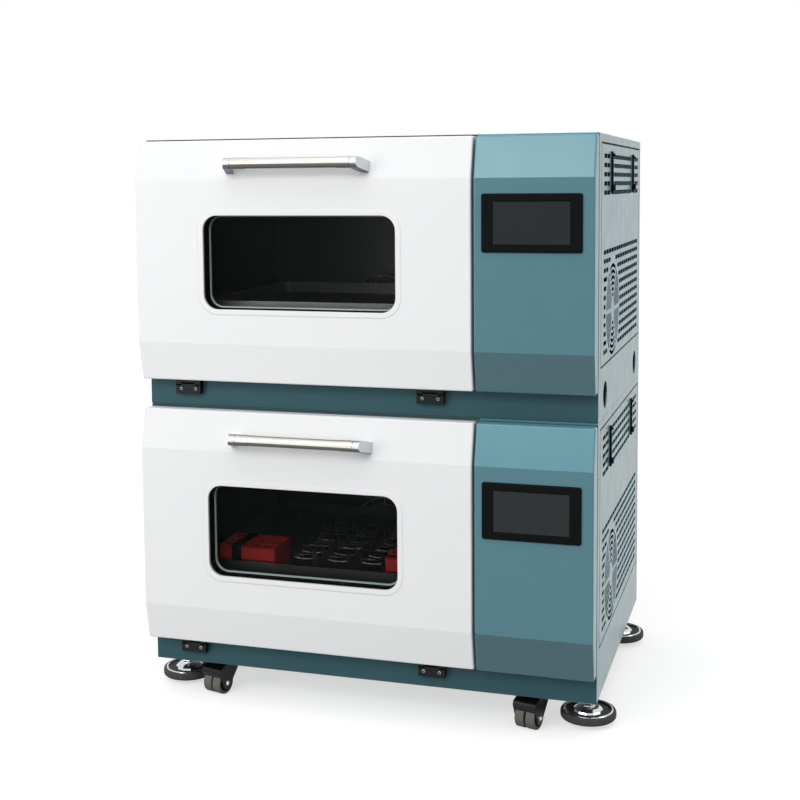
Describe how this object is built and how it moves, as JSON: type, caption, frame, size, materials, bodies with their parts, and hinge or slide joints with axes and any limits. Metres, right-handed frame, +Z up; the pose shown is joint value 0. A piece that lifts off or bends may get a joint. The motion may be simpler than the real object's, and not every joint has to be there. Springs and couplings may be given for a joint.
{
  "type": "incubator shaker",
  "caption": "Two stacked shaking incubators on castors and levelling feet, with fold-down glazed doors, touch screens and vented service bays.",
  "frame": {"origin": "on the floor under the middle of the whole machine's box", "axes": "+Z up, -Y the front with the doors and screens, +X the side with the control fascias and vents"},
  "size_m": [1.046, 0.798, 1.2357],
  "materials": {
    "teal_paint": "semi-gloss teal powder coat on sheet steel",
    "white_paint": "smooth white powder coat",
    "door_pan": "white vacuum-formed liner",
    "window_glass": "clear toughened glass with a faint green edge",
    "gasket_rubber": "black silicone seal",
    "stainless": "brushed stainless sheet",
    "handle_steel": "satin stainless tube",
    "handle_casting": "satin die-cast end post",
    "hinge_black": "black e-coat",
    "bezel_black": "black moulded ABS",
    "screen": "dark display glass, switched off",
    "crank_steel": "machined steel",
    "motor_housing": "cast aluminium housing",
    "fan_black": "black moulded fan rotor",
    "lock_black": "black glass-filled nylon",
    "castor_black": "black painted pressing",
    "castor_tread": "grey-brown tread",
    "foot_steel": "plated levelling foot with a black rubber sole"
  },
  "bodies": {
    "root": {"lower_cabinet": "teal_paint", "lower_side_panel": "teal_paint", "lower_control_fascia": "teal_paint", "lower_chamber_liner": "stainless", "lower_screen_bezel": "bezel_black", "lower_screen_glass": "screen", "lower_hinge_left": "hinge_black", "lower_hinge_right": "hinge_black", "lower_drive_motor": "motor_housing", "upper_cabinet": "teal_paint", "upper_side_panel": "teal_paint", "upper_control_fascia": "teal_paint", "upper_chamber_liner": "stainless", "upper_screen_bezel": "bezel_black", "upper_screen_glass": "screen", "upper_hinge_left": "hinge_black", "upper_hinge_right": "hinge_black", "upper_drive_motor": "motor_housing"},
    "lower_door": {"lower_door_shell": "white_paint", "lower_door_pan": "door_pan", "lower_window_pane": "window_glass", "lower_inner_pane": "window_glass", "lower_door_gasket": "gasket_rubber", "lower_handle_bar": "handle_steel", "lower_handle_post_left": "handle_casting", "lower_handle_post_right": "handle_casting"},
    "lower_crank": {"lower_main_crank": "crank_steel"},
    "lower_idler_left": {"lower_idler_crank_left": "crank_steel"},
    "lower_idler_right": {"lower_idler_crank_right": "crank_steel"},
    "lower_tray": {"lower_shaking_tray": "stainless"},
    "lower_fan": {"lower_cooling_fan_rotor": "fan_black"},
    "lower_lock_front": {"lower_panel_lock_front": "lock_black"},
    "lower_lock_rear": {"lower_panel_lock_rear": "lock_black"},
    "upper_door": {"upper_door_shell": "white_paint", "upper_door_pan": "door_pan", "upper_window_pane": "window_glass", "upper_inner_pane": "window_glass", "upper_door_gasket": "gasket_rubber", "upper_handle_bar": "handle_steel", "upper_handle_post_left": "handle_casting", "upper_handle_post_right": "handle_casting"},
    "upper_crank": {"upper_main_crank": "crank_steel"},
    "upper_idler_left": {"upper_idler_crank_left": "crank_steel"},
    "upper_idler_right": {"upper_idler_crank_right": "crank_steel"},
    "upper_tray": {"upper_shaking_tray": "stainless"},
    "upper_fan": {"upper_cooling_fan_rotor": "fan_black"},
    "upper_lock_front": {"upper_panel_lock_front": "lock_black"},
    "upper_lock_rear": {"upper_panel_lock_rear": "lock_black"},
    "castor_front_left": {"castor_front_left_fork": "castor_black"},
    "castor_front_left_wheels": {"castor_front_left_wheels": "castor_tread"},
    "foot_front_left": {"foot_front_left": "foot_steel"},
    "castor_front_right": {"castor_front_right_fork": "castor_black"},
    "castor_front_right_wheels": {"castor_front_right_wheels": "castor_tread"},
    "foot_front_right": {"foot_front_right": "foot_steel"},
    "castor_rear_left": {"castor_rear_left_fork": "castor_black"},
    "castor_rear_left_wheels": {"castor_rear_left_wheels": "castor_tread"},
    "foot_rear_left": {"foot_rear_left": "foot_steel"},
    "castor_rear_right": {"castor_rear_right_fork": "castor_black"},
    "castor_rear_right_wheels": {"castor_rear_right_wheels": "castor_tread"},
    "foot_rear_right": {"foot_rear_right": "foot_steel"}
  },
  "joints": [
    {"name": "lower_door_hinge", "type": "hinge", "parent": "root", "child": "lower_door", "pos_m": [0, -0.312, 0.1312], "axis": [1, 0, 0], "range_deg": [0, 90]},
    {"name": "lower_crank_spin", "type": "hinge", "parent": "root", "child": "lower_crank", "pos_m": [-0.124, -0.001, 0.234], "axis": [0, 0, 1], "continuous": true},
    {"name": "lower_tray_orbit", "type": "hinge", "parent": "lower_crank", "child": "lower_tray", "pos_m": [-0.111, -0.001, 0.276], "axis": [0, 0, 1], "continuous": true},
    {"name": "lower_idler_left_spin", "type": "hinge", "parent": "root", "child": "lower_idler_left", "pos_m": [-0.304, 0.129, 0.23], "axis": [0, 0, 1], "continuous": true},
    {"name": "lower_idler_right_spin", "type": "hinge", "parent": "root", "child": "lower_idler_right", "pos_m": [0.056, 0.129, 0.23], "axis": [0, 0, 1], "continuous": true},
    {"name": "lower_fan_spin", "type": "hinge", "parent": "root", "child": "lower_fan", "pos_m": [0.48, -0.095, 0.288], "axis": [1, 0, 0], "continuous": true},
    {"name": "lower_lock_front_turn", "type": "hinge", "parent": "root", "child": "lower_lock_front", "pos_m": [0.495, -0.128, 0.546], "axis": [-1, 0, 0], "range_deg": [0, 90]},
    {"name": "lower_lock_rear_turn", "type": "hinge", "parent": "root", "child": "lower_lock_rear", "pos_m": [0.495, 0.235, 0.546], "axis": [-1, 0, 0], "range_deg": [0, 90]},
    {"name": "upper_door_hinge", "type": "hinge", "parent": "root", "child": "upper_door", "pos_m": [0, -0.312, 0.7112], "axis": [1, 0, 0], "range_deg": [0, 90]},
    {"name": "upper_crank_spin", "type": "hinge", "parent": "root", "child": "upper_crank", "pos_m": [-0.124, -0.001, 0.814], "axis": [0, 0, 1], "continuous": true},
    {"name": "upper_tray_orbit", "type": "hinge", "parent": "upper_crank", "child": "upper_tray", "pos_m": [-0.111, -0.001, 0.856], "axis": [0, 0, 1], "continuous": true},
    {"name": "upper_idler_left_spin", "type": "hinge", "parent": "root", "child": "upper_idler_left", "pos_m": [-0.304, 0.129, 0.81], "axis": [0, 0, 1], "continuous": true},
    {"name": "upper_idler_right_spin", "type": "hinge", "parent": "root", "child": "upper_idler_right", "pos_m": [0.056, 0.129, 0.81], "axis": [0, 0, 1], "continuous": true},
    {"name": "upper_fan_spin", "type": "hinge", "parent": "root", "child": "upper_fan", "pos_m": [0.48, -0.095, 0.868], "axis": [1, 0, 0], "continuous": true},
    {"name": "upper_lock_front_turn", "type": "hinge", "parent": "root", "child": "upper_lock_front", "pos_m": [0.495, -0.128, 1.126], "axis": [-1, 0, 0], "range_deg": [0, 90]},
    {"name": "upper_lock_rear_turn", "type": "hinge", "parent": "root", "child": "upper_lock_rear", "pos_m": [0.495, 0.235, 1.126], "axis": [-1, 0, 0], "range_deg": [0, 90]},
    {"name": "castor_front_left_swivel", "type": "hinge", "parent": "root", "child": "castor_front_left", "pos_m": [-0.355, -0.253, 0.076], "axis": [0, 0, 1], "continuous": true},
    {"name": "castor_front_left_roll", "type": "hinge", "parent": "castor_front_left", "child": "castor_front_left_wheels", "pos_m": [-0.36018, -0.27232, 0.025], "axis": [0.9659, -0.2588, 0], "continuous": true},
    {"name": "foot_front_left_screw", "type": "slide", "parent": "root", "child": "foot_front_left", "axis": [0, 0, 1], "range_m": [-0.025, 0.015]},
    {"name": "castor_front_right_swivel", "type": "hinge", "parent": "root", "child": "castor_front_right", "pos_m": [0.355, -0.253, 0.076], "axis": [0, 0, 1], "continuous": true},
    {"name": "castor_front_right_roll", "type": "hinge", "parent": "castor_front_right", "child": "castor_front_right_wheels", "pos_m": [0.34982, -0.27232, 0.025], "axis": [0.9659, -0.2588, 0], "continuous": true},
    {"name": "foot_front_right_screw", "type": "slide", "parent": "root", "child": "foot_front_right", "axis": [0, 0, 1], "range_m": [-0.025, 0.015]},
    {"name": "castor_rear_left_swivel", "type": "hinge", "parent": "root", "child": "castor_rear_left", "pos_m": [-0.355, 0.351, 0.076], "axis": [0, 0, 1], "continuous": true},
    {"name": "castor_rear_left_roll", "type": "hinge", "parent": "castor_rear_left", "child": "castor_rear_left_wheels", "pos_m": [-0.36018, 0.33168, 0.025], "axis": [0.9659, -0.2588, 0], "continuous": true},
    {"name": "foot_rear_left_screw", "type": "slide", "parent": "root", "child": "foot_rear_left", "axis": [0, 0, 1], "range_m": [-0.025, 0.015]},
    {"name": "castor_rear_right_swivel", "type": "hinge", "parent": "root", "child": "castor_rear_right", "pos_m": [0.355, 0.351, 0.076], "axis": [0, 0, 1], "continuous": true},
    {"name": "castor_rear_right_roll", "type": "hinge", "parent": "castor_rear_right", "child": "castor_rear_right_wheels", "pos_m": [0.34982, 0.33168, 0.025], "axis": [0.9659, -0.2588, 0], "continuous": true},
    {"name": "foot_rear_right_screw", "type": "slide", "parent": "root", "child": "foot_rear_right", "axis": [0, 0, 1], "range_m": [-0.025, 0.015]}
  ],
  "couplings": [
    {"joint": "lower_tray_orbit", "follows": "lower_crank_spin", "ratio": -1},
    {"joint": "lower_idler_left_spin", "follows": "lower_crank_spin", "ratio": 1},
    {"joint": "lower_idler_right_spin", "follows": "lower_crank_spin", "ratio": 1},
    {"joint": "upper_tray_orbit", "follows": "upper_crank_spin", "ratio": -1},
    {"joint": "upper_idler_left_spin", "follows": "upper_crank_spin", "ratio": 1},
    {"joint": "upper_idler_right_spin", "follows": "upper_crank_spin", "ratio": 1}
  ]
}
